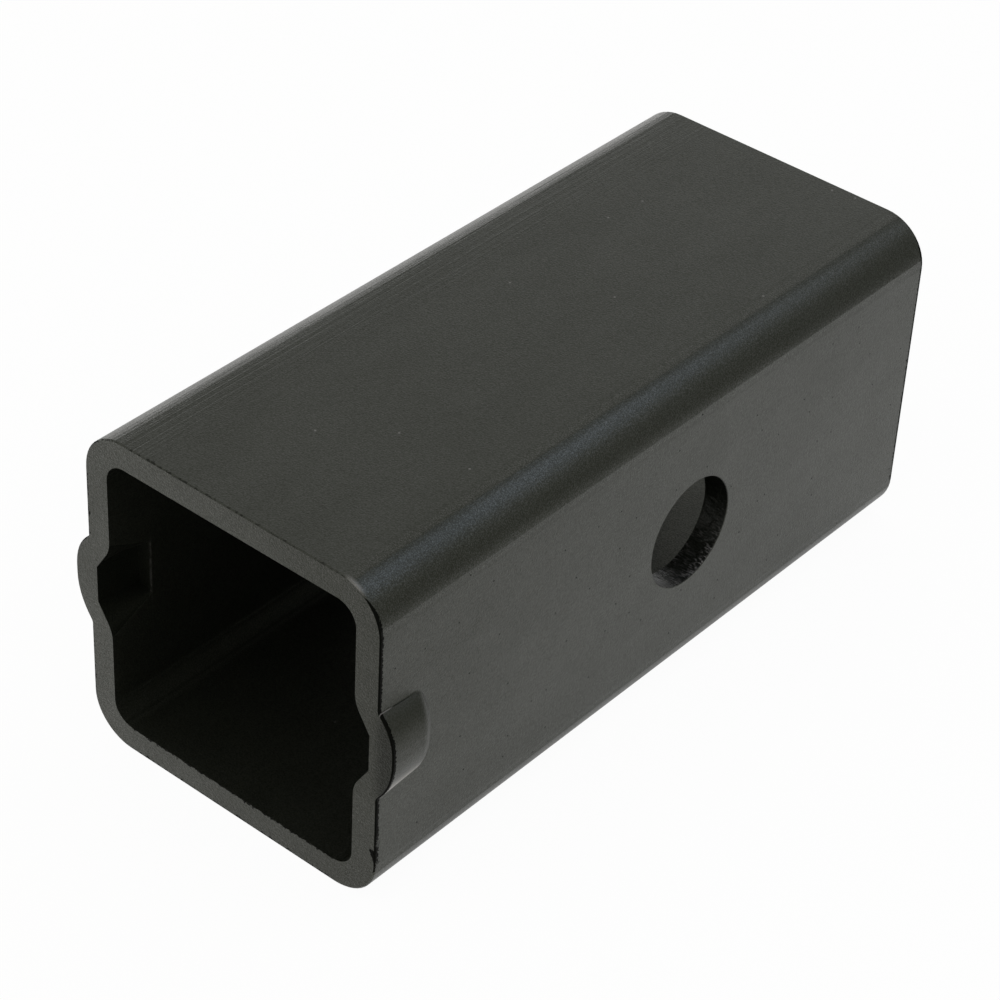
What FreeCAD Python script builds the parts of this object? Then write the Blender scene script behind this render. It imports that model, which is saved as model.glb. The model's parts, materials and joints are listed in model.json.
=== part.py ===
import FreeCAD, Part
import math
import os

import Sketcher

# The sleeve is a length of square tube that lies along Y. Its origin is on the tube's axis, at the middle
# of the pin bore, which runs along X. The mouth with the two stop lugs faces -Y, and the tube lies on its
# -Z wall.

# Driving dimensions in millimetres: name, value, meaning.
SIZES = [
    ("outer_width", 63.5, "across the side walls"),
    ("outer_height", 63.5, "from the bottom wall's face to the top wall's face"),
    ("wall", 4.9, "thickness of the tube's wall"),
    ("outer_corner", 8.5, "radius outside each long corner"),
    ("inner_corner", 4.0, "radius inside each long corner"),
    ("tube_length", 142.5, "mouth to tail"),
    ("pin_from_mouth", 78.4, "mouth to the axis of the pin bore"),
    ("pin_bore", 20.8, "diameter of the pin bore"),
    ("lug_length", 10.5, "how far each stop lug runs back from the mouth"),
    ("lug_tail_run", 3.1, "the stretch of that over which its tail end comes down to the wall"),
    ("lug_rise", 3.2, "how far a lug stands out of the side wall"),
    ("lug_tail_step", 0.8, "what is left of that rise at the very end"),
    ("lug_crest", 1.9, "height of the flat on a lug's crest, above the middle of the wall"),
    ("lug_top", 9.3, "middle of the wall to the lug's upper root, at the mouth"),
    ("lug_bottom", 9.1, "middle of the wall to its lower root, at the mouth"),
    ("lug_waist_top", 8.7, "as lug_top, where the tail end begins"),
    ("lug_waist_bottom", 8.4, "as lug_bottom, where the tail end begins"),
    ("lug_tail_top", 6.6, "as lug_top, at the very end"),
    ("lug_tail_bottom", 3.8, "as lug_bottom, at the very end"),
    ("lug_upper_root", 0.5, "radius of the blend between a lug and the wall above it"),
    ("lug_lower_root", 1.2, "radius of the blend between a lug and the wall below it"),
    ("recess_length", 9.2, "how far the punched recess runs back from the mouth"),
    ("recess_depth", 3.15, "depth of the recess below the inside of the wall"),
    ("recess_height", 20.6, "height of the recess at the mouth, over its shoulders"),
    ("recess_floor", 7.2, "height of its flat floor at the mouth"),
    ("recess_shoulder", 6.0, "radius of its shoulders at the mouth"),
    ("recess_tail_height", 11.2, "height over the shoulders at its tail end"),
    ("recess_tail_floor", 9.4, "height of the floor at its tail end"),
    ("recess_tail_shoulder", 0.5, "radius of the shoulders at its tail end"),
    ("end_break", 0.25, "bevel that breaks the outer edge of each sawn end"),
    ("bore_break", 0.15, "bevel that breaks the outer edge of the pin bore"),
    ("rooting", 1.5, "how far a lug's outline is drawn into its wall, and a recess's out of it"),
]

doc = FreeCAD.newDocument("hitch_receiver_sleeve")
sheet = doc.addObject("Spreadsheet::Sheet", "sizes")
for row, (alias, value, meaning) in enumerate(SIZES, start=1):
    sheet.set(f"A{row}", meaning)
    sheet.set(f"B{row}", str(value))
    sheet.setAlias(f"B{row}", alias)
doc.recompute()

body = doc.addObject("PartDesign::Body", "sleeve")
body.Label = "sleeve"


def origin_plane(role):
    """one of the body's own origin planes"""
    return next(feature for feature in body.Origin.OriginFeatures if feature.Role == role)


def new_sketch(name, role, station="0"):
    """a sketch on an origin plane, moved along that plane's normal by an expression"""
    sketch = body.newObject("Sketcher::SketchObject", name)
    sketch.AttachmentSupport = (origin_plane(role), [""])
    sketch.MapMode = "FlatFace"
    sketch.setExpression(".AttachmentOffset.Base.z", station)
    return sketch


def size(expression):
    """the present value of an expression of sheet cells"""
    return float(sheet.evalExpression(expression))


def point(x, y):
    return FreeCAD.Vector(x, y, 0)


def arc(x, y, radius, start, end):
    """an anticlockwise arc about (x, y), between two angles in radians"""
    circle = Part.Circle(point(x, y), FreeCAD.Vector(0, 0, 1), radius)
    return Part.ArcOfCircle(circle, start, end)


def dimension(sketch, name, expression, kind, *references):
    """a named constraint whose value is tied to the sheet"""
    index = sketch.addConstraint(Sketcher.Constraint(kind, *references, size(expression)))
    sketch.renameConstraint(index, name)
    sketch.setExpression(f"Constraints.{name}", expression)


# Points of a sketch line or arc, the sketch's own origin and its first axis, and a square corner's turn
START, END, CENTRE = range(1, 4)
ORIGIN = (-1, 1)
ACROSS_AXIS = -1
CORNER_TURN = math.pi / 2

# Faces and edges this near in millimetres to where they are looked for are the ones that are meant
TOUCHING = 0.001


def chain(sketch, joints):
    """joins ends of neighbouring lines and arcs, tangent where the outline is smooth, else just meeting"""
    for kind, first, first_end, second, second_end in joints:
        sketch.addConstraint(Sketcher.Constraint(kind, first, first_end, second, second_end))


def rounded_rectangle(sketch, width, height, radius):
    """four straight sides and four equal corner arcs, anticlockwise from the bottom side"""
    corner = size(radius)
    across = size(width) / 2 - corner
    up = size(height) / 2 - corner
    centres = [(across, -up), (across, up), (-across, up), (-across, -up)]
    outward = [(0, -1), (1, 0), (0, 1), (-1, 0)]
    for turn, (centre, normal) in enumerate(zip(centres, outward)):
        offset = point(*normal) * corner
        side = Part.LineSegment(point(*centres[turn - 1]) + offset, point(*centre) + offset)
        sketch.addGeometry(side)
        bearing = (turn - 1) * CORNER_TURN
        sketch.addGeometry(arc(*centre, corner, bearing, bearing + CORNER_TURN))
    bottom, right, top, left = 0, 2, 4, 6
    arcs = 1, 3, 5, 7
    chain(sketch, [("Tangent", piece, END, (piece + 1) % 8, START) for piece in range(8)])
    for side in bottom, top:
        sketch.addConstraint(Sketcher.Constraint("Horizontal", side))
    for side in right, left:
        sketch.addConstraint(Sketcher.Constraint("Vertical", side))
    for other in arcs[1:]:
        sketch.addConstraint(Sketcher.Constraint("Equal", arcs[0], other))
    sketch.addConstraint(Sketcher.Constraint("Symmetric", arcs[0], CENTRE, arcs[2], CENTRE, *ORIGIN))
    dimension(sketch, "corner", radius, "Radius", arcs[0])
    dimension(sketch, "width", width, "DistanceX", left, START, right, START)
    dimension(sketch, "height", height, "DistanceY", bottom, START, top, START)


def lug_section(name, station, top, bottom, rise):
    """a lug's section across the tube: an arc up to a flat crest and one down, blended into the wall"""
    sketch = new_sketch(name, "XZ_Plane", station)
    face, rooting = size("sizes.outer_width / 2"), size("sizes.rooting")
    upper, lower = size("sizes.lug_upper_root"), size("sizes.lug_lower_root")
    above, below, crest, ledge = size(top), size(bottom), size(rise), size("sizes.lug_crest")
    high_arc = (crest**2 + (above - ledge)**2) / (2 * crest) - upper
    low_arc = (crest**2 + below**2) / (2 * crest) - lower
    high_spread = math.atan2(above - ledge, upper + high_arc - crest)
    low_spread = math.atan2(below, lower + low_arc - crest)
    sketch.addGeometry(Part.LineSegment(point(face - rooting, above), point(face, above)))
    sketch.addGeometry(arc(face + upper, above, upper, math.pi, math.pi + high_spread))
    sketch.addGeometry(arc(face + crest - high_arc, ledge, high_arc, 0, high_spread))
    sketch.addGeometry(Part.LineSegment(point(face + crest, ledge), point(face + crest, 0)))
    sketch.addGeometry(arc(face + crest - low_arc, 0, low_arc, -low_spread, 0))
    sketch.addGeometry(arc(face + lower, -below, lower, math.pi - low_spread, math.pi))
    sketch.addGeometry(Part.LineSegment(point(face, -below), point(face - rooting, -below)))
    sketch.addGeometry(Part.LineSegment(point(face - rooting, -below), point(face - rooting, above)))
    lid, upper_root, high, flat, low, lower_root, bed, back = range(8)
    chain(sketch, [
        ("Coincident", lid, END, upper_root, START),
        ("Tangent", upper_root, END, high, END),
        ("Tangent", high, START, flat, START),
        ("Tangent", flat, END, low, END),
        ("Tangent", low, START, lower_root, START),
        ("Coincident", lower_root, END, bed, START),
        ("Coincident", bed, END, back, START),
        ("Coincident", back, END, lid, START),
    ])
    for side in lid, bed:
        sketch.addConstraint(Sketcher.Constraint("Horizontal", side))
    for side in flat, back:
        sketch.addConstraint(Sketcher.Constraint("Vertical", side))
    sketch.addConstraint(Sketcher.Constraint("Horizontal", upper_root, START, upper_root, CENTRE))
    sketch.addConstraint(Sketcher.Constraint("Horizontal", lower_root, END, lower_root, CENTRE))
    sketch.addConstraint(Sketcher.Constraint("PointOnObject", flat, END, ACROSS_AXIS))
    dimension(sketch, "upper_root", "sizes.lug_upper_root", "Radius", upper_root)
    dimension(sketch, "lower_root", "sizes.lug_lower_root", "Radius", lower_root)
    dimension(sketch, "upper_face", "sizes.outer_width / 2", "DistanceX", *ORIGIN, upper_root, START)
    dimension(sketch, "lower_face", "sizes.outer_width / 2", "DistanceX", *ORIGIN, lower_root, END)
    dimension(sketch, "top", top, "DistanceY", *ORIGIN, upper_root, START)
    dimension(sketch, "bottom", bottom, "DistanceY", lower_root, END, *ORIGIN)
    dimension(sketch, "rise", f"sizes.outer_width / 2 + {rise}", "DistanceX", *ORIGIN, flat, START)
    dimension(sketch, "crest", "sizes.lug_crest", "DistanceY", *ORIGIN, flat, START)
    dimension(sketch, "rooting", "sizes.rooting", "DistanceX", lid, START, lid, END)
    return sketch


def recess_section(name, station, height, floor, shoulder):
    """the recess's section across the tube: a flat floor, slanting flanks and rounded shoulders"""
    sketch = new_sketch(name, "XZ_Plane", station)
    face = size("sizes.outer_width / 2 - sizes.wall")
    depth, rooting = size("sizes.recess_depth"), size("sizes.rooting")
    half, floor_half, radius = size(height) / 2, size(floor) / 2, size(shoulder)
    slant = math.atan2(half - floor_half, radius - depth)
    slant -= math.acos(radius / math.hypot(half - floor_half, radius - depth))
    flank_x = face + radius - radius * math.cos(slant)
    flank_z = half - radius * math.sin(slant)
    sketch.addGeometry(Part.LineSegment(point(face - rooting, half), point(face, half)))
    sketch.addGeometry(arc(face + radius, half, radius, math.pi, math.pi + slant))
    sketch.addGeometry(Part.LineSegment(point(flank_x, flank_z), point(face + depth, floor_half)))
    sketch.addGeometry(Part.LineSegment(point(face + depth, floor_half), point(face + depth, -floor_half)))
    sketch.addGeometry(Part.LineSegment(point(face + depth, -floor_half), point(flank_x, -flank_z)))
    sketch.addGeometry(arc(face + radius, -half, radius, math.pi - slant, math.pi))
    sketch.addGeometry(Part.LineSegment(point(face, -half), point(face - rooting, -half)))
    sketch.addGeometry(Part.LineSegment(point(face - rooting, -half), point(face - rooting, half)))
    top, upper, upper_flank, bed, lower_flank, lower, bottom, back = range(8)
    chain(sketch, [
        ("Coincident", top, END, upper, START),
        ("Tangent", upper, END, upper_flank, START),
        ("Coincident", upper_flank, END, bed, START),
        ("Coincident", bed, END, lower_flank, START),
        ("Tangent", lower_flank, END, lower, START),
        ("Coincident", lower, END, bottom, START),
        ("Coincident", bottom, END, back, START),
        ("Coincident", back, END, top, START),
    ])
    for side in top, bottom:
        sketch.addConstraint(Sketcher.Constraint("Horizontal", side))
    sketch.addConstraint(Sketcher.Constraint("Vertical", back))
    sketch.addConstraint(Sketcher.Constraint("Horizontal", upper, START, upper, CENTRE))
    sketch.addConstraint(Sketcher.Constraint("Horizontal", lower, END, lower, CENTRE))
    sketch.addConstraint(Sketcher.Constraint("Equal", upper, lower))
    sketch.addConstraint(Sketcher.Constraint("Symmetric", upper, CENTRE, lower, CENTRE, ACROSS_AXIS))
    sketch.addConstraint(Sketcher.Constraint("Symmetric", bed, START, bed, END, ACROSS_AXIS))
    dimension(sketch, "shoulder", shoulder, "Radius", upper)
    place = f"sizes.outer_width / 2 - sizes.wall + {shoulder}"
    dimension(sketch, "face", place, "DistanceX", *ORIGIN, upper, CENTRE)
    dimension(sketch, "height", height, "DistanceY", lower, CENTRE, upper, CENTRE)
    place = "sizes.outer_width / 2 - sizes.wall + sizes.recess_depth"
    dimension(sketch, "depth", place, "DistanceX", *ORIGIN, bed, START)
    dimension(sketch, "floor", floor, "DistanceY", bed, END, bed, START)
    dimension(sketch, "clearing", "sizes.rooting", "DistanceX", top, START, top, END)
    return sketch


def feature(kind, name, profile, **settings):
    """a feature of the body, with plain settings"""
    made = body.newObject(f"PartDesign::{kind}", name)
    made.Profile = profile
    for setting, value in settings.items():
        setattr(made, setting, value)
    return made


def loft(kind, name, first, *others, ruled=True):
    made = feature(kind, name, first, Ruled=ruled)
    made.Sections = list(others)
    return made


def mirrored(name, *originals):
    """the same features again on the other side wall"""
    made = body.newObject("PartDesign::Mirrored", name)
    made.Originals = list(originals)
    made.MirrorPlane = (origin_plane("YZ_Plane"), [""])
    body.Tip = made
    return made


def edge_names(base, wanted):
    """the names of those edges of a feature that are the same as one of the wanted edges"""
    named = enumerate(base.Shape.Edges, start=1)
    return [f"Edge{number}" for number, edge in named if any(edge.isSame(other) for other in wanted)]


def end_faces(base):
    """the two flat faces of the sawn ends"""
    boxes = [(face, face.BoundBox) for face in base.Shape.Faces]
    ends = -size("sizes.pin_from_mouth"), size("sizes.tube_length - sizes.pin_from_mouth")
    flat = [(face, box.Center.y) for face, box in boxes if box.YLength < TOUCHING]
    return [face for face, station in flat if min(abs(station - end) for end in ends) < TOUCHING]


def bore_rims(base):
    """the two circles where the pin bore comes out of the side walls"""
    boxes = [(edge, edge.BoundBox) for edge in base.Shape.Edges]
    side = size("sizes.outer_width / 2")
    centred = [(edge, box) for edge, box in boxes if abs(box.Center.y) + abs(box.Center.z) < TOUCHING]
    return [edge for edge, box in centred if box.XLength + abs(abs(box.Center.x) - side) < TOUCHING]


def bevel(name, base, wanted, width):
    made = body.newObject("PartDesign::Chamfer", name)
    made.Base = (base, edge_names(base, wanted))
    made.setExpression("Size", width)
    return made


MOUTH = "sizes.pin_from_mouth"

# The tube's outside, sawn to length
outline = new_sketch("outside", "XZ_Plane", MOUTH)
rounded_rectangle(outline, "sizes.outer_width", "sizes.outer_height", "sizes.outer_corner")
billet = feature("Pad", "billet", outline, Reversed=True)
billet.setExpression("Length", "sizes.tube_length")

# A stop lug on the +X wall: a bulge that narrows a little towards its waist. From there its tail end comes
# down to the wall along a quarter of an ellipse, stopping short of the wall itself, and its corners round
# off with it.
WAIST = "sizes.pin_from_mouth - sizes.lug_length + sizes.lug_tail_run"
SWEEP = "acos(sizes.lug_tail_step / sizes.lug_rise)"
TAIL_SECTIONS = 5


def drawn_in(end, spent):
    """how far a root lies from the middle of the wall once a share of the tail's narrowing is spent"""
    return f"sizes.lug_waist_{end} - (sizes.lug_waist_{end} - sizes.lug_tail_{end}) * {spent}"


lug_mouth = lug_section("lug_mouth", MOUTH, "sizes.lug_top", "sizes.lug_bottom", "sizes.lug_rise")
tail_sections = []
for number in range(TAIL_SECTIONS):
    turn = f"{SWEEP} * {number / (TAIL_SECTIONS - 1)}"
    station = f"{WAIST} - sizes.lug_tail_run * sin({turn}) / sin({SWEEP})"
    spent = f"((1 - cos({turn})) / (1 - cos({SWEEP})))"
    rise = f"sizes.lug_rise * cos({turn})"
    top, bottom = drawn_in("top", spent), drawn_in("bottom", spent)
    tail_sections.append(lug_section(f"lug_tail_{number}", station, top, bottom, rise))
lug = loft("AdditiveLoft", "lug", lug_mouth, tail_sections[0])
lug_tail = loft("AdditiveLoft", "lug_tail", *tail_sections, ruled=False)
lugs = mirrored("lugs", lug, lug_tail)

# The tube's bore
inside = new_sketch("inside", "XZ_Plane", MOUTH)
inner_width = "sizes.outer_width - 2 * sizes.wall"
inner_height = "sizes.outer_height - 2 * sizes.wall"
rounded_rectangle(inside, inner_width, inner_height, "sizes.inner_corner")
bore = feature("Pocket", "bore", inside, Type="ThroughAll")

# The recess that the punch left behind each lug: flared at the mouth, and nearly square at its tail end
recess_tail_station = "sizes.pin_from_mouth - sizes.recess_length"
recess_mouth = recess_section(
    "recess_mouth", MOUTH, "sizes.recess_height", "sizes.recess_floor", "sizes.recess_shoulder"
)
recess_tail = recess_section(
    "recess_tail",
    recess_tail_station,
    "sizes.recess_tail_height",
    "sizes.recess_tail_floor",
    "sizes.recess_tail_shoulder",
)
recess = loft("SubtractiveLoft", "recess", recess_mouth, recess_tail)
recesses = mirrored("recesses", recess)

# The pin bore through both side walls
ring = new_sketch("pin_outline", "YZ_Plane")
ring.addGeometry(Part.Circle(point(0, 0), FreeCAD.Vector(0, 0, 1), size("sizes.pin_bore / 2")))
ring.addConstraint(Sketcher.Constraint("Coincident", 0, CENTRE, *ORIGIN))
dimension(ring, "bore", "sizes.pin_bore", "Diameter", 0)
pin_bore = feature("Pocket", "pin_bore", ring, Type="ThroughAll", Midplane=True)
doc.recompute()

# The broken outer edges of the sawn ends and of the pin bore
end_edges = [edge for face in end_faces(pin_bore) for edge in face.OuterWire.Edges]
end_break = bevel("end_break", pin_bore, end_edges, "sizes.end_break")
doc.recompute()
bore_break = bevel("bore_break", end_break, bore_rims(end_break), "sizes.bore_break")
body.Tip = bore_break
doc.recompute()

for item in doc.Objects:
    faults = {"Invalid", "Error"}.intersection(item.State)
    if faults:
        raise RuntimeError(f"{item.Name} is {sorted(faults)}")
for cut in bore, recess, recesses, pin_bore, end_break, bore_break:
    if cut.Shape.Volume >= cut.BaseFeature.Shape.Volume:
        raise RuntimeError(f"{cut.Name} removes nothing")
for added in lug, lug_tail, lugs:
    if added.Shape.Volume <= added.BaseFeature.Shape.Volume:
        raise RuntimeError(f"{added.Name} adds nothing")
if body.Shape.isNull() or not body.Shape.isValid() or len(body.Shape.Solids) != 1:
    raise RuntimeError("the sleeve is not one sound solid")

os.makedirs("parts", exist_ok=True)
body.Shape.exportStep(f"parts/{body.Label}.step")
box = body.Shape.optimalBoundingBox()
extents = f"{box.XLength:.2f} x {box.YLength:.2f} x {box.ZLength:.2f} mm"
print(f"sleeve {extents}, {body.Shape.Volume / 1000:.1f} cm3")
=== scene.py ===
import json
import math

import bpy
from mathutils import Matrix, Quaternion, Vector


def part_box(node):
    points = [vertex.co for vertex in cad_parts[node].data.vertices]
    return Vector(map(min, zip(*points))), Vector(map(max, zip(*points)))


bl_info = {
    "name": "Hitch receiver sleeve",
    "version": (1, 0, 0),
    "blender": (4, 5, 0),
    # The wear in this description is painted highlights on the lugs' rims, the mouth's shoulder and the
    # bore, and the burrs carry painted shade
    "location": "View3D > Sidebar > Sleeve",
    "description": "Coats the sleeve, with its saw and drill burrs and its wear, and sets up the studio",
    "category": "Object",
}

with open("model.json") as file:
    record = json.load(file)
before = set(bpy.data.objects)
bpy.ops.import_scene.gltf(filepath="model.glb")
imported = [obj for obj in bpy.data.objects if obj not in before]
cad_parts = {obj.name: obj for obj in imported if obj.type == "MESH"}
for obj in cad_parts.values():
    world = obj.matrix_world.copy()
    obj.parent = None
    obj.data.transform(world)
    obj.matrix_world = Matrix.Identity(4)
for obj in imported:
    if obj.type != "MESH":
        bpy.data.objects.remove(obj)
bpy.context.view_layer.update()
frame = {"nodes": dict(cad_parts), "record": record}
SLEEVE = frame["nodes"]["sleeve"]
LOW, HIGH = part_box("sleeve")
PIN_BORE = next(mount for mount in frame["record"]["mounts"] if mount["name"] == "pin_bore")
MM = 0.001

# The sleeve's faces and sizes in metres. All places are measured from the middle of its pin bore.
# The tube is square, so its side walls lie as far out as its top lies up.
MOUTH, TAIL = LOW.y, HIGH.y
FLOOR = LOW.z
FACE = HIGH.z
INNER_FACE = FACE - 4.9 * MM
CORNER_RADIUS = 8.5 * MM
BORE_RADIUS = PIN_BORE["dims"]["r_mm"] * MM
RECESS_LENGTH = 9.2 * MM
RECESS_DEPTH = 3.15 * MM
RECESS_HEIGHT = 20.6 * MM
LUG_ROOT = 9.6 * MM

# How far a mask reaches past the face that it is for
SKIN = 0.1 * MM
SAWN_SKIN = 0.03 * MM

# A noise lies evenly about this value, and a fleck has its full strength over this share of its size
NOISE_MIDDLE = 0.5
FLECK_CORE = 0.6


def span(start, end, *values):
    """where a change starts and ends, given in millimetres, and its values there"""
    return (start * MM, end * MM, *values)


# Properties that a user would change

class SleeveFinish(bpy.types.PropertyGroup):
    coat: bpy.props.FloatVectorProperty(
        name="Coat", description="Colour of the coat on the outside", subtype="COLOR", size=3,
        default=(0.0180, 0.0192, 0.0130), min=0, max=1,
    )
    # The inside colour is darker than the coat outside: it paints the shade inside the tube and in the pin
    # bore
    inside: bpy.props.FloatVectorProperty(
        name="Inside", description="Colour of the thin coat inside the tube", subtype="COLOR", size=3,
        default=(0.0035, 0.0041, 0.0026), min=0, max=1,
    )
    # The near-black colour of the burr's painted shade, of the painted shade on the right lug's sawn end and
    # at the lugs' roots, and of the pits, chip and ticks
    burr_and_shade: bpy.props.FloatVectorProperty(
        name="Burr", description="Colour of the burr round the mouth and of other dark marks",
        subtype="COLOR", size=3, default=(0.0030, 0.0032, 0.0024), min=0, max=1,
    )
    # The bright colour of the painted highlights on the lugs' rims, the mouth's shoulder, the bore, the
    # lugs' roots and the recesses' tail edges, and of the dust and the sawn ends' filings
    highlights_and_dust: bpy.props.FloatVectorProperty(
        name="Rubbed", description="Colour of the coat where it is rubbed thin", subtype="COLOR", size=3,
        default=(0.68, 0.65, 0.62), min=0, max=1,
    )
    gloss: bpy.props.FloatProperty(
        name="Gloss", description="How strongly the coat mirrors", subtype="FACTOR",
        default=0.45, min=0, max=1,
    )
    roughness: bpy.props.FloatProperty(
        name="Roughness", description="How dull the coat is", subtype="FACTOR",
        default=0.33, min=0, max=1,
    )
    peel: bpy.props.FloatProperty(
        name="Peel", description="Width of a dimple of the orange peel", default=0.32 * MM, min=0.1 * MM,
        unit="LENGTH", subtype="DISTANCE",
    )
    peel_depth: bpy.props.FloatProperty(
        name="Peel depth", description="Depth of the orange peel", default=0.06 * MM, min=0,
        unit="LENGTH", subtype="DISTANCE",
    )
    # The width of the band of burr and painted shade down the side edges of the mouth
    burr_and_shade_width: bpy.props.FloatProperty(
        name="Burr width", description="Width of the burr along the side edges of the mouth",
        default=0.7 * MM, min=0, unit="LENGTH", subtype="DISTANCE",
    )


class SleeveStudio(bpy.types.PropertyGroup):
    azimuth: bpy.props.FloatProperty(
        name="Azimuth", description="Camera's bearing, from looking along +Y towards -X", subtype="ANGLE",
        default=math.radians(38.665),
    )
    elevation: bpy.props.FloatProperty(
        name="Elevation", description="Camera's angle above the floor", subtype="ANGLE",
        default=math.radians(37.2),
    )
    roll: bpy.props.FloatProperty(
        name="Roll", description="Camera's turn about its own axis", subtype="ANGLE",
        default=math.radians(3.158),
    )
    distance: bpy.props.FloatProperty(
        name="Distance", description="From the camera to its target", default=554.4 * MM, unit="LENGTH",
        subtype="DISTANCE",
    )
    target: bpy.props.FloatVectorProperty(
        name="Target", description="Where the camera points", size=3, subtype="TRANSLATION",
        default=(-3.89 * MM, -7.27 * MM, -7.99 * MM),
    )
    lens: bpy.props.FloatProperty(
        name="Lens", description="Focal length in millimetres", default=114.36, min=10,
    )
    ambient: bpy.props.FloatProperty(
        name="Ambient", description="Strength of the light from all round", default=0.75, min=0,
    )
    key: bpy.props.FloatProperty(
        name="Key", description="Brightness of the front softbox", default=1.2, min=0,
    )
    back: bpy.props.FloatProperty(
        name="Back", description="Brightness of the back softbox", default=1.08, min=0,
    )
    low: bpy.props.FloatProperty(
        name="Low", description="Brightness of the low softbox", default=1.5, min=0,
    )


class Nodes:
    """a short way to add shader nodes to a tree and join them"""

    def __init__(self, tree):
        self.tree = tree
        tree.nodes.clear()

    def put(self, socket, value):
        """joins another node's socket to a socket, or sets its own value"""
        if isinstance(value, bpy.types.NodeSocket):
            self.tree.links.new(value, socket)
        else:
            socket.default_value = value

    def add(self, kind, settings=None, **inputs):
        """a new node; an input is given by its name, or by its number after an i"""
        node = self.tree.nodes.new(f"ShaderNode{kind}")
        for name, value in (settings or {}).items():
            setattr(node, name, value)
        for name, value in inputs.items():
            key = int(name[1:]) if name[1:].isdigit() else name.replace("_", " ")
            self.put(node.inputs[key], value)
        return node

    def maths(self, operation, first, second=0.0, third=0.0):
        return self.add("Math", {"operation": operation}, i0=first, i1=second, i2=third).outputs[0]

    def times(self, product, *factors):
        for factor in factors:
            product = self.maths("MULTIPLY", product, factor)
        return product

    def most(self, greatest, *others):
        for other in others:
            greatest = self.maths("MAXIMUM", greatest, other)
        return greatest

    def line(self, value, slope, base):
        """a value times a slope, on top of a base"""
        return self.maths("MULTIPLY_ADD", value, slope, base)

    def rest(self, share):
        """what a share leaves of the whole"""
        return self.maths("SUBTRACT", 1, share)

    def above(self, value, limit):
        return self.maths("GREATER_THAN", value, limit)

    def below(self, value, limit):
        return self.maths("LESS_THAN", value, limit)

    def near(self, value, middle, reach):
        return self.maths("COMPARE", value, middle, reach)

    def ramp(self, value, low, high, to_low=0.0, to_high=1.0):
        """maps a value between two limits smoothly onto two others"""
        settings = {"interpolation_type": "SMOOTHSTEP"}
        limits = {"From_Min": low, "From_Max": high, "To_Min": to_low, "To_Max": to_high}
        return self.add("MapRange", settings, Value=value, **limits).outputs["Result"]

    def mix(self, share, first, second):
        """mixes two colours"""
        return self.add("Mix", {"data_type": "RGBA"}, i0=share, i6=first, i7=second).outputs[2]

    def flecks(self, along, over, cell, size, share):
        """round flecks, one in a share of the cells of a loose grid"""
        vector = self.add("CombineXYZ", X=along, Y=over).outputs[0]
        cells = self.add("TexVoronoi", {"voronoi_dimensions": "2D"}, Vector=vector, Scale=1 / cell).outputs
        fleck = self.ramp(cells["Distance"], size / cell, FLECK_CORE * size / cell)
        chosen = self.above(self.add("SeparateColor", Color=cells["Color"]).outputs[0], 1 - share)
        return self.times(fleck, chosen)

    def noise(self, vector, size, detail=2.0, roughness=0.5):
        """a noise whose features are about as wide as a size in metres"""
        node = self.add("TexNoise", Vector=vector, Scale=1 / size, Detail=detail, Roughness=roughness)
        return node.outputs["Fac"]

    def stretched(self, vector, scale):
        """coordinates stretched by three factors"""
        return self.add("Mapping", {"vector_type": "POINT"}, Vector=vector, Scale=scale).outputs[0]


class Regions:
    """where a point of the sleeve's surface lies, and masks for the parts of the sleeve"""

    def __init__(self, nodes):
        self.place = nodes.add("TexCoord").outputs["Object"]
        self.x, self.y, self.z = nodes.add("SeparateXYZ", Vector=self.place).outputs
        self.across = nodes.maths("ABSOLUTE", self.x)
        self.up = nodes.maths("ABSOLUTE", self.z)
        self.from_axis = nodes.most(self.across, self.up)
        self.from_mouth = nodes.maths("SUBTRACT", self.y, MOUTH)
        self.from_end = nodes.maths("MINIMUM", self.from_mouth, nodes.maths("SUBTRACT", TAIL, self.y))
        self.sawn = nodes.below(self.from_end, SAWN_SKIN)
        self.unsawn = nodes.rest(self.sawn)
        self.recess = nodes.times(
            nodes.above(self.across, INNER_FACE + SKIN / 2),
            nodes.below(self.across, INNER_FACE + RECESS_DEPTH + SKIN),
            nodes.below(self.up, RECESS_HEIGHT / 2 + SKIN),
            nodes.below(self.from_mouth, RECESS_LENGTH + SKIN),
        )
        hollow = nodes.below(self.from_axis, INNER_FACE + SKIN)
        self.inside = nodes.times(nodes.most(hollow, self.recess), self.unsawn)
        radius = nodes.add("VectorMath", {"operation": "LENGTH"}, i0=nodes.stretched(self.place, (0, 1, 1)))
        bored = nodes.below(radius.outputs["Value"], BORE_RADIUS + SKIN / 2)
        self.bore = nodes.times(bored, nodes.above(self.across, INNER_FACE - SKIN / 2))
        self.lug = nodes.times(self.unsawn, nodes.above(self.across, FACE + SKIN))

        # how far a point lies past the ends of the flats, where the corners turn
        flat_end = FACE - CORNER_RADIUS
        self.turn_out = nodes.most(nodes.maths("SUBTRACT", self.across, flat_end), 0)
        self.turn_up = nodes.most(nodes.maths("SUBTRACT", self.up, flat_end), 0)


# A ragged dark band down the side edges of the sawn ends is the burr with painted shade on it, and a broken
# dark line runs along their other edges
RAG_SIZE = 0.4 * MM
BAND_GETS_RAGGED = span(-12, -24, 1.4 * MM, 4.5 * MM)
BAND_ROUND_CORNER = span(27.6, 31.3)
BAND_STOPS = span(-25, -22.5)
BROKEN_SIZE = 1.0 * MM
BROKEN_WIDTH = 3.0 * MM
BROKEN_GAPS = -1.45 * MM
BROKEN_DARKNESS = 0.6
BROKEN_STOPS = span(26, 24)

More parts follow.
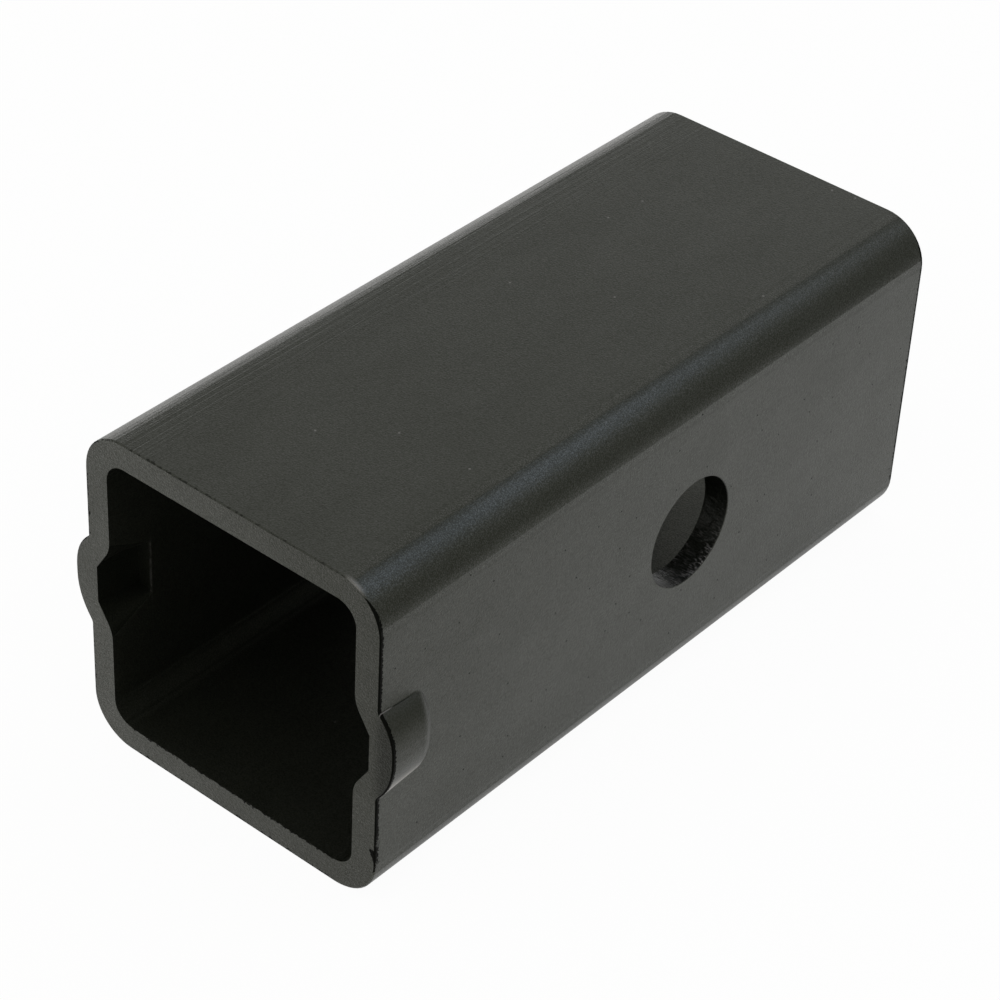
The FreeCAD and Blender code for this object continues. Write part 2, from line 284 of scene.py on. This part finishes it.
# The chip lies low on the right of the mouth, and the ticks along its left, lower and inner lower rims
CHIP_MIDDLE = -21.2 * MM
CHIP_HALF_LENGTH = 1.6 * MM
CHIP_RAG = 1.2 * MM
CHIP_DEEPENS = span(-23, -20, 0.0, 1.1 * MM)
TICK_SIZE = 0.9 * MM
TICK_DEPTH = 2.4 * MM
TICK_GAPS = -1.3 * MM
RIM = FACE - 0.47 * MM
RIM_TICKS_STOP = 22 * MM
INNER_RIM = INNER_FACE + 0.25 * MM
INNER_TICKS_TOP = -26 * MM
INNER_TICKS_STOP = 23 * MM


def burr_and_shade_mask(nodes, region, width):
    """the burr round the mouth and the tail with painted shade on its band down the side edges, and the chip
    and the ticks
    """
    ragged = nodes.noise(region.place, RAG_SIZE, detail=4, roughness=0.7)
    ragged = nodes.maths("SUBTRACT", ragged, NOISE_MIDDLE)
    # The band down the side edges is painted shade on the burr
    side = nodes.times(
        nodes.line(ragged, nodes.ramp(region.z, *BAND_GETS_RAGGED), width),
        nodes.ramp(region.across, *BAND_ROUND_CORNER),
        nodes.ramp(region.z, *BAND_STOPS),
    )
    broken = nodes.noise(region.place, BROKEN_SIZE, detail=5, roughness=0.65)
    broken = nodes.times(nodes.line(broken, BROKEN_WIDTH, BROKEN_GAPS), nodes.ramp(region.x, *BROKEN_STOPS))
    broken = nodes.times(nodes.below(region.from_end, broken), BROKEN_DARKNESS)
    band = nodes.most(nodes.below(region.from_end, side), broken)
    band = nodes.times(band, region.unsawn, nodes.rest(region.inside))

    chip = nodes.line(ragged, CHIP_RAG, nodes.ramp(region.z, *CHIP_DEEPENS))
    chip = nodes.above(nodes.maths("ADD", region.x, chip), FACE)
    chip = nodes.times(chip, nodes.near(region.z, CHIP_MIDDLE, CHIP_HALF_LENGTH))

    ticks = nodes.line(nodes.noise(region.place, TICK_SIZE, detail=4, roughness=0.7), TICK_DEPTH, TICK_GAPS)
    rim_ticks = nodes.times(
        nodes.below(nodes.maths("SUBTRACT", RIM, region.from_axis), ticks),
        nodes.above(region.up, LUG_ROOT),
        nodes.below(nodes.most(region.x, region.z), RIM_TICKS_STOP),
    )
    inner_ticks = nodes.times(
        nodes.below(nodes.maths("SUBTRACT", region.up, INNER_RIM), ticks),
        nodes.below(region.z, INNER_TICKS_TOP),
        nodes.below(region.across, INNER_TICKS_STOP),
    )
    return nodes.most(band, nodes.times(nodes.most(chip, rim_ticks, inner_ticks), region.sawn))


# The flats run on a little past the start of the corners, by these angles in radians, and a die line follows
CREASE_AT_WALL = 0.2
CREASE_AT_ROOF = 0.23
CREASE_UNLIKE = 0.06
DIE_LINE_STARTS = (0.22, 0.30)
DIE_LINE_ENDS = (0.46, 0.34)


def corner_relief(nodes, region):
    """the height that gives each long corner a crisp start, and the mask of the die line along its top"""
    from_roof = nodes.maths("ARCTAN2", region.turn_out, region.turn_up)
    from_wall = nodes.maths("SUBTRACT", math.pi / 2, from_roof)
    from_wall = nodes.maths("MINIMUM", from_wall, CREASE_AT_WALL)
    die_line = nodes.times(
        nodes.ramp(from_roof, *DIE_LINE_STARTS),
        nodes.ramp(from_roof, *DIE_LINE_ENDS),
        region.unsawn,
    )
    at_roof = nodes.line(nodes.maths("SIGN", region.x), CREASE_UNLIKE, CREASE_AT_ROOF)
    from_roof = nodes.maths("MINIMUM", from_roof, at_roof)
    crease = nodes.line(from_wall, from_wall, nodes.times(from_roof, from_roof))
    return nodes.times(crease, CORNER_RADIUS / 2), die_line


# The drill tears the pin bore in patches
TEAR_SIZE = 0.32 * MM
TEAR_STRETCH = (0.35, 1, 1)
TEAR_DEPTH = 0.2 * MM
PATCH_SIZE = 2.6 * MM
PATCHES = (0.42, 0.58, 0.3, 1.0)


def torn_bore(nodes, region):
    """the tears that the drill leaves in the pin bore, and how strong they are over its patches"""
    torn = nodes.noise(nodes.stretched(region.place, TEAR_STRETCH), TEAR_SIZE, detail=4)
    patchy = nodes.ramp(nodes.noise(region.place, PATCH_SIZE, detail=3), *PATCHES)
    return torn, nodes.times(patchy, region.bore)


# Waves, the draw marks along the tube, which are deepest beside its top left corner, and the saw's grain
WAVE_SIZE = 9 * MM
WAVE_DEPTH = 0.05 * MM
DRAW_SIZE = 0.5 * MM
DRAW_STRETCH = (1, 0.012, 1)
DRAWN_ON_LEFT = span(-12, -23)
DRAWN_ON_TOP = span(22, 26)
DRAW_DEPTH = 0.005 * MM
DRAW_DEPTH_BESIDE_CORNER = 0.12 * MM
SAW_SIZE = 0.36 * MM
SAW_DEPTH = 0.13 * MM


def relief(nodes, region, finish, crease, torn, patchy):
    """the coat's orange peel, waves and draw marks, the sawn ends' grain and the bore's tears, as a bump"""
    height = nodes.line(nodes.noise(region.place, finish.peel, detail=3), finish.peel_depth, crease)
    height = nodes.line(nodes.noise(region.place, WAVE_SIZE, detail=1), WAVE_DEPTH, height)
    beside_corner = nodes.times(nodes.ramp(region.x, *DRAWN_ON_LEFT), nodes.ramp(region.z, *DRAWN_ON_TOP))
    depth = nodes.line(beside_corner, DRAW_DEPTH_BESIDE_CORNER, DRAW_DEPTH)
    drawn = nodes.noise(nodes.stretched(region.place, DRAW_STRETCH), DRAW_SIZE, detail=3)
    height = nodes.line(drawn, depth, height)
    saw_marks = nodes.times(nodes.noise(region.place, SAW_SIZE, detail=3, roughness=0.6), SAW_DEPTH)
    height = nodes.add("Mix", {"data_type": "FLOAT"}, i0=region.sawn, i2=height, i3=saw_marks).outputs[0]
    height = nodes.line(nodes.times(torn, patchy), TEAR_DEPTH, height)
    return nodes.add("Bump", Strength=1.0, Distance=1.0, Height=height).outputs[0]


# Painted highlights lie on the rear and the foot of each lug, on the mouth's top right shoulder and on the
# torn bore, strongest at its lower outer edge
LUG_REAR = span(9.2, 10.4)
LUG_REAR_STARTS = span(6, 1)
LUG_FOOT = span(-3, -8.2)
SHOULDER_DEPTH = span(1.1, 0.2)
SHOULDER_STARTS = span(23.6, 26)
SHOULDER_ENDS = span(28.8, 26.6, 0.0, 0.15)
SHOULDER_FOOT = 27 * MM
FLECKS = (0.45, 0.7, 0.0, 0.24)
FLECKS_AT_FOOT = span(-1, -9)
FLECKS_AT_EDGE = span(29.5, 31.5, 0.25, 1.0)
FILING_SIZE = 0.24 * MM
FILINGS = (0.5, 0.72, 0.0, 0.05)


def highlight_and_filing_mask(nodes, region, torn, patchy):
    """the painted highlights on the lugs' rear and foot rims, on the mouth's top right shoulder and in the
    torn bore, and the bright filings on the sawn ends
    """
    rear = nodes.times(nodes.ramp(region.from_mouth, *LUG_REAR), nodes.ramp(region.z, *LUG_REAR_STARTS))
    rims = nodes.times(nodes.most(nodes.ramp(region.z, *LUG_FOOT), rear), region.lug)
    shoulder = nodes.times(
        region.unsawn,
        nodes.ramp(region.from_mouth, *SHOULDER_DEPTH),
        nodes.ramp(region.x, *SHOULDER_STARTS),
        nodes.ramp(region.x, *SHOULDER_ENDS),
        nodes.above(region.z, SHOULDER_FOOT),
    )
    flecks = nodes.times(
        nodes.ramp(torn, *FLECKS),
        nodes.ramp(region.z, *FLECKS_AT_FOOT),
        nodes.ramp(region.across, *FLECKS_AT_EDGE),
        patchy,
    )
    filings = nodes.times(nodes.ramp(nodes.noise(region.place, FILING_SIZE), *FILINGS), region.sawn)
    return nodes.most(rims, shoulder, flecks, filings)


# Each lug's upper root gets painted shade along a fine split, and a painted highlight where it starts at the
# mouth
CRACK_SHADE_WIDTH = 0.22 * MM
CRACK_SHADE_FOOT = 5 * MM
CRACK_SHADE_FADES = span(9, 5, 0.0, 0.65)
GLINT_FADES = span(3.4, 2.0, 0.0, 0.16)


def root_masks(nodes, region):
    """the painted shade along the fine split at each lug's upper root, and the painted highlight at its
    start
    """
    root = nodes.times(
        region.lug,
        nodes.below(region.across, FACE + CRACK_SHADE_WIDTH),
        nodes.above(region.z, CRACK_SHADE_FOOT),
    )
    crack_shade = nodes.times(root, nodes.ramp(region.from_mouth, *CRACK_SHADE_FADES))
    return crack_shade, nodes.times(root, nodes.ramp(region.from_mouth, *GLINT_FADES))


# Dust lies on the top and inside, and the recesses' tail edges catch a little light
DUST_CELL = 9 * MM
DUST_SIZE = 0.25 * MM
DUST_SHARE = 0.14
DUST_ON_TOP = 0.14
DUST_INSIDE = 0.08
LIP_REACH = 0.15 * MM
LIP_ACROSS = 27 * MM
LIP_HALF_WIDTH = 0.3 * MM
LIP_ENDS = span(7.8, 7)
LIP_SIZE = 1.2 * MM
LIP_LIGHT = (0.35, 0.6, 0.002, 0.03)

# Pits show in the side walls, and the sawn end of the right lug is darkened with painted shade
PIT_CELL = 4 * MM
PIT_SIZE = 0.2 * MM
PIT_SHARE = 0.16
END_SHADE_ACROSS = span(30, 33, 0.0, 0.5)
END_SHADE_HEIGHT = span(9.5, 6.5)


def dust_and_lip_highlight_mask(nodes, region, round_tube):
    """the dust on the top and inside, and the light on the recesses' tail edges"""
    roof = nodes.above(region.z, FACE - SKIN)
    dusty = nodes.line(region.inside, DUST_INSIDE, nodes.times(roof, DUST_ON_TOP))
    dust = nodes.times(nodes.flecks(region.y, round_tube, DUST_CELL, DUST_SIZE, DUST_SHARE), dusty)
    lip = nodes.times(
        nodes.near(region.from_mouth, RECESS_LENGTH, LIP_REACH),
        nodes.near(region.across, LIP_ACROSS, LIP_HALF_WIDTH),
        nodes.ramp(region.up, *LIP_ENDS),
        nodes.ramp(nodes.noise(region.place, LIP_SIZE, detail=3), *LIP_LIGHT),
    )
    return nodes.most(dust, lip)


def pit_and_end_shade_mask(nodes, region, round_tube):
    """the pits in the side walls, and the painted shade on the sawn end of the right lug"""
    side_wall = nodes.near(region.across, FACE, SKIN)
    pits = nodes.times(nodes.flecks(round_tube, region.y, PIT_CELL, PIT_SIZE, PIT_SHARE), side_wall)
    # Painted shade on the right lug's sawn end
    end_shade = nodes.times(
        nodes.ramp(region.x, *END_SHADE_ACROSS),
        region.sawn,
        nodes.ramp(region.up, *END_SHADE_HEIGHT),
    )
    return nodes.most(pits, end_shade)


# How the gloss changes over the sleeve, as shares that are added to it
MOTTLE_SIZE = 0.27 * MM
MOTTLE = (0.28, 0.72)
MOTTLE_SHARE = 0.4
CLOUD_SIZE = 8 * MM
CLOUD_STRETCH = (1, 0.35, 1)
CLOUDS = (0.3, 0.7, -0.07, 0.07)
SPARKLE_SIZE = 0.2 * MM
SPARKLE = (0.4, 0.68, -0.35, 0.75)
SPARKLE_ON_CORNERS = span(0.2, 1.2)
DULLER_TOWARDS_TOP = span(26, -12, -0.08, 0.05)
DULLER_TOWARDS_MOUTH = span(60, 10, 0.0, -0.06)
DULLER_SIDES = 27 * MM
LUG_SHADE = span(-5, 2, 0.0, -0.28)
LUG_SHADE_ENDS = span(9, 4.5, -0.2, 1.0)
DIE_LINE_SHARE = -0.3
INSIDE_SHARE = 0.22
RECESS_SHARE = -0.8
SAWN_FADES = span(-25, 33, 0.05, -0.36)
SHEARED_SHADE = span(10.0, 9.6, 0.0, -0.17)
MARKS_AND_SHADE_SHARE = -0.96
BORE_SHARE = -0.52


def gloss_level(nodes, region, gloss, die_line, marks_and_shade):
    """the gloss: mottled, sparkling on the corners and weaker in the dark places"""
    mottle = nodes.noise(region.place, MOTTLE_SIZE, detail=3, roughness=0.6)
    level = nodes.ramp(mottle, *MOTTLE, (1 - MOTTLE_SHARE) * gloss, (1 + MOTTLE_SHARE) * gloss)
    clouds = nodes.noise(nodes.stretched(region.place, CLOUD_STRETCH), CLOUD_SIZE, detail=3)
    corner = nodes.maths("MINIMUM", region.turn_out, region.turn_up)
    sparkle = nodes.times(
        nodes.ramp(nodes.noise(region.place, SPARKLE_SIZE), *SPARKLE),
        nodes.ramp(corner, *SPARKLE_ON_CORNERS),
        nodes.rest(nodes.most(region.inside, region.bore)),
    )
    front = nodes.ramp(region.from_mouth, *DULLER_TOWARDS_MOUTH)
    sheared = nodes.times(nodes.ramp(region.up, *SHEARED_SHADE), region.sawn, nodes.above(region.x, 0))
    shares = (
        nodes.ramp(clouds, *CLOUDS),
        sparkle,
        nodes.ramp(region.z, *DULLER_TOWARDS_TOP),
        nodes.times(front, nodes.above(region.across, DULLER_SIDES)),
        nodes.times(region.lug, nodes.ramp(region.z, *LUG_SHADE), nodes.ramp(region.z, *LUG_SHADE_ENDS)),
        nodes.times(die_line, DIE_LINE_SHARE),
        nodes.times(region.inside, nodes.line(region.recess, RECESS_SHARE, INSIDE_SHARE)),
        nodes.times(nodes.ramp(region.x, *SAWN_FADES), region.sawn),
        sheared,
        nodes.times(marks_and_shade, MARKS_AND_SHADE_SHARE),
        nodes.times(region.bore, BORE_SHARE),
    )
    for share in shares:
        level = nodes.times(level, nodes.maths("ADD", share, 1))
    return level


# The roughness drifts over the coat, and is greater inside. The coat's gloss has a tint.
DRIFT_SIZE = 7 * MM
DRIFT = 0.08
ROUGHER_INSIDE = 0.12
OUTSIDE_TINT = (0.985, 1.0, 0.93, 1)
INSIDE_TINT = (0.96, 1.0, 0.8, 1)


def coated_steel(finish):
    """the sleeve's black coat: orange peel outside, saw grain on the ends, and a smooth coat inside, darker
    than the outside's so as to paint the shade in the tube and the bore
    """
    material = bpy.data.materials.new("coated_steel")
    material.use_nodes = True
    nodes = Nodes(material.node_tree)
    region = Regions(nodes)
    crease, die_line = corner_relief(nodes, region)
    torn, patchy = torn_bore(nodes, region)
    crack_shade, glint = root_masks(nodes, region)
    round_tube = nodes.maths("ADD", region.x, region.z)
    burr_and_shade = burr_and_shade_mask(nodes, region, finish.burr_and_shade_width)
    # Pits, chip and ticks, with the painted shade on the burr's band, the right lug's sawn end and the lugs'
    # roots
    marks_and_shade = nodes.most(burr_and_shade, pit_and_end_shade_mask(nodes, region, round_tube), crack_shade)

    tones = (finish.coat, finish.inside, finish.burr_and_shade, finish.highlights_and_dust)
    coat, inside, dark, bright = ((*tone, 1) for tone in tones)
    # The inside and the bore take the darker inside colour, which paints the shade in them
    colour = nodes.mix(nodes.most(region.inside, region.bore), coat, inside)
    # Painted highlights on the lugs' rims, the mouth's shoulder and the bore, and the sawn ends' filings
    colour = nodes.mix(highlight_and_filing_mask(nodes, region, torn, patchy), colour, bright)
    # Dust, and the painted highlight on the recesses' tail edges
    colour = nodes.mix(dust_and_lip_highlight_mask(nodes, region, round_tube), colour, bright)
    # Near black where these marks and the painted shade lie
    colour = nodes.mix(marks_and_shade, colour, dark)
    colour = nodes.mix(glint, colour, bright)

    drift = nodes.noise(region.place, DRIFT_SIZE, detail=3)
    roughness = nodes.line(drift, DRIFT, finish.roughness - DRIFT / 2)
    shader = nodes.add(
        "BsdfPrincipled",
        Base_Color=colour,
        Roughness=nodes.line(region.inside, ROUGHER_INSIDE, roughness),
        Specular_IOR_Level=gloss_level(nodes, region, finish.gloss, die_line, marks_and_shade),
        Specular_Tint=nodes.mix(region.inside, OUTSIDE_TINT, INSIDE_TINT),
        Normal=relief(nodes, region, finish, crease, torn, patchy),
    )
    nodes.add("OutputMaterial", Surface=shader.outputs[0])
    return material


class SLEEVE_OT_coat(bpy.types.Operator):
    """Coats the tube with its black finish"""

    bl_idname = "sleeve.coat"
    bl_label = "Coat the tube"

    def execute(self, context):
        SLEEVE.material_slots[0].material = coated_steel(context.scene.sleeve_finish)
        return {"FINISHED"}


# The studio: sizes and places in metres
FLOOR_SIZE = 6
FLOOR_GAP = 0.05 * MM
FLOOR_COLOUR = (0.83, 0.82, 0.78, 1)
FLOOR_WHITE_SEEN = 0.96
FLOOR_WHITE_MIRRORED = 0.55
WHITE = (1, 1, 1, 1)
SKY_DIMS = (0.1, 0.5, 0.0, 0.45)
KEY_PLACE = (0.0, -0.55, 0.75)
KEY_SIZE = (0.6, 0.6)
BACK_PLACE = (0.14, 0.17, 0.36)
BACK_SIZE = (0.24, 0.22)
BACK_COLOUR = (0.78, 0.98, 1.4)
LOW_PLACE = (-0.48, 0.31, 0.01)
LOW_SIZE = (0.36, 0.1)
LOW_COLOUR = (1.03, 1.0, 1.0)
CARD_COLOUR = (0.33, 0.33, 0.33, 1)
CARD_WIDTH = 0.55
CARD_HEIGHT = 0.15
CARD_PLACE = (0.16, 0.11, FLOOR + CARD_HEIGHT / 2)
SENSOR_WIDTH = 36
NEAREST = 0.01
FARTHEST = 20


def studio_floor():
    """a pale floor, seen as the white of the backdrop with the object's shadow on it"""
    bpy.ops.mesh.primitive_plane_add(size=FLOOR_SIZE, location=(0, 0, FLOOR - FLOOR_GAP))
    floor = bpy.context.active_object
    floor.name = "floor"
    bpy.ops.object.transform_apply(location=True, rotation=False, scale=False)
    material = bpy.data.materials.new("pale_floor")
    material.use_nodes = True
    nodes = Nodes(material.node_tree)
    ray = nodes.add("LightPath").outputs
    seen = nodes.times(nodes.most(ray["Is Camera Ray"], ray["Is Transmission Ray"]), FLOOR_WHITE_SEEN)
    share = nodes.line(ray["Is Glossy Ray"], FLOOR_WHITE_MIRRORED, seen)
    matt = nodes.add("BsdfDiffuse", Color=FLOOR_COLOUR).outputs[0]
    white = nodes.add("Emission", Color=WHITE, Strength=1.0).outputs[0]
    mixed = nodes.add("MixShader", i0=share, i1=matt, i2=white).outputs[0]
    nodes.add("OutputMaterial", Surface=mixed)
    floor.data.materials.append(material)


def studio_world(scene, ambient):
    """an even light from all round, seen as white and mirrored a little dimmer overhead"""
    world = bpy.data.worlds.new("studio")
    scene.world = world
    world.use_nodes = True
    nodes = Nodes(world.node_tree)
    ray = nodes.add("LightPath").outputs
    seen = nodes.most(ray["Is Camera Ray"], ray["Is Glossy Ray"], ray["Is Transmission Ray"])
    lit = nodes.add("Background", Color=WHITE, Strength=ambient).outputs[0]
    rise = nodes.add("SeparateXYZ", Vector=nodes.add("TexCoord").outputs["Generated"]).outputs[2]
    dimmed = nodes.times(nodes.ramp(rise, *SKY_DIMS), ray["Is Glossy Ray"])
    white = nodes.add("Background", Color=WHITE, Strength=nodes.rest(dimmed)).outputs[0]
    mixed = nodes.add("MixShader", i0=seen, i1=lit, i2=white).outputs[0]
    nodes.add("OutputWorld", Surface=mixed)


def softbox(name, place, size, radiance, colour=WHITE[:3]):
    """a lamp that faces the middle of the sleeve, unseen by the camera"""
    width, height = size
    bpy.ops.object.light_add(type="AREA", location=place)
    lamp = bpy.context.active_object
    lamp.name = name
    lamp.rotation_mode = "QUATERNION"
    lamp.rotation_quaternion = (-Vector(place)).to_track_quat("-Z", "Y")
    lamp.data.shape = "RECTANGLE"
    lamp.data.size = width
    lamp.data.size_y = height
    lamp.data.energy = radiance * math.pi * width * height
    lamp.data.color = colour
    lamp.visible_camera = False


def dark_card(name, place, width, height):
    """a dark card that stands on the floor beside the sleeve and shows only in its gloss"""
    bpy.ops.mesh.primitive_plane_add(size=1, location=place)
    card = bpy.context.active_object
    card.name = name
    card.scale = (width, height, 1)
    facing = Vector((-place[0], -place[1], 0))
    card.rotation_mode = "QUATERNION"
    card.rotation_quaternion = facing.to_track_quat("Z", "Y")
    bpy.ops.object.transform_apply(location=True, rotation=True, scale=True)
    material = bpy.data.materials.new("dark_card")
    material.use_nodes = True
    nodes = Nodes(material.node_tree)
    nodes.add("OutputMaterial", Surface=nodes.add("BsdfDiffuse", Color=CARD_COLOUR).outputs[0])
    card.data.materials.append(material)
    card.visible_camera = False
    card.visible_diffuse = False
    card.visible_shadow = False


def studio_camera(scene, studio):
    """a camera at the photograph's angle"""
    level = math.cos(studio.elevation)
    back = Vector((
        math.sin(studio.azimuth) * level,
        -math.cos(studio.azimuth) * level,
        math.sin(studio.elevation),
    ))
    bpy.ops.object.camera_add(location=Vector(studio.target) + back * studio.distance)
    camera = bpy.context.active_object
    camera.name = "camera"
    camera.rotation_mode = "QUATERNION"
    camera.rotation_quaternion = (-back).to_track_quat("-Z", "Y") @ Quaternion((0, 0, 1), studio.roll)
    camera.data.lens = studio.lens
    camera.data.sensor_width = SENSOR_WIDTH
    camera.data.clip_start = NEAREST
    camera.data.clip_end = FARTHEST
    scene.camera = camera


class SLEEVE_OT_studio(bpy.types.Operator):
    """Sets up the floor, the lamps, the white surroundings and the camera"""

    bl_idname = "sleeve.studio"
    bl_label = "Set up the studio"

    def execute(self, context):
        scene = context.scene
        studio = scene.sleeve_studio
        studio_floor()
        studio_world(scene, studio.ambient)
        softbox("key_softbox", KEY_PLACE, KEY_SIZE, studio.key)
        softbox("back_softbox", BACK_PLACE, BACK_SIZE, studio.back, BACK_COLOUR)
        softbox("low_softbox", LOW_PLACE, LOW_SIZE, studio.low, LOW_COLOUR)
        dark_card("side_card", CARD_PLACE, CARD_WIDTH, CARD_HEIGHT)
        studio_camera(scene, studio)
        scene.view_settings.view_transform = "Standard"
        return {"FINISHED"}


class SLEEVE_PT_panel(bpy.types.Panel):
    bl_idname = "SLEEVE_PT_panel"
    bl_label = "Hitch receiver sleeve"
    bl_space_type = "VIEW_3D"
    bl_region_type = "UI"
    bl_category = "Sleeve"

    def draw(self, context):
        layout = self.layout
        for group in (context.scene.sleeve_finish, context.scene.sleeve_studio):
            for name in group.bl_rna.properties.keys():
                if name not in ("rna_type", "name"):
                    layout.prop(group, name)
        for operator in OPERATORS:
            layout.operator(operator.bl_idname)


OPERATORS = (SLEEVE_OT_coat, SLEEVE_OT_studio)
CLASSES = (SleeveFinish, SleeveStudio, *OPERATORS, SLEEVE_PT_panel)


def register():
    for cls in CLASSES:
        bpy.utils.register_class(cls)
    bpy.types.Scene.sleeve_finish = bpy.props.PointerProperty(type=SleeveFinish)
    bpy.types.Scene.sleeve_studio = bpy.props.PointerProperty(type=SleeveStudio)


def unregister():
    del bpy.types.Scene.sleeve_studio
    del bpy.types.Scene.sleeve_finish
    for cls in reversed(CLASSES):
        bpy.utils.unregister_class(cls)


def main():
    register()
    bpy.ops.sleeve.coat()
    bpy.ops.sleeve.studio()


if __name__ == "__main__":
    main()
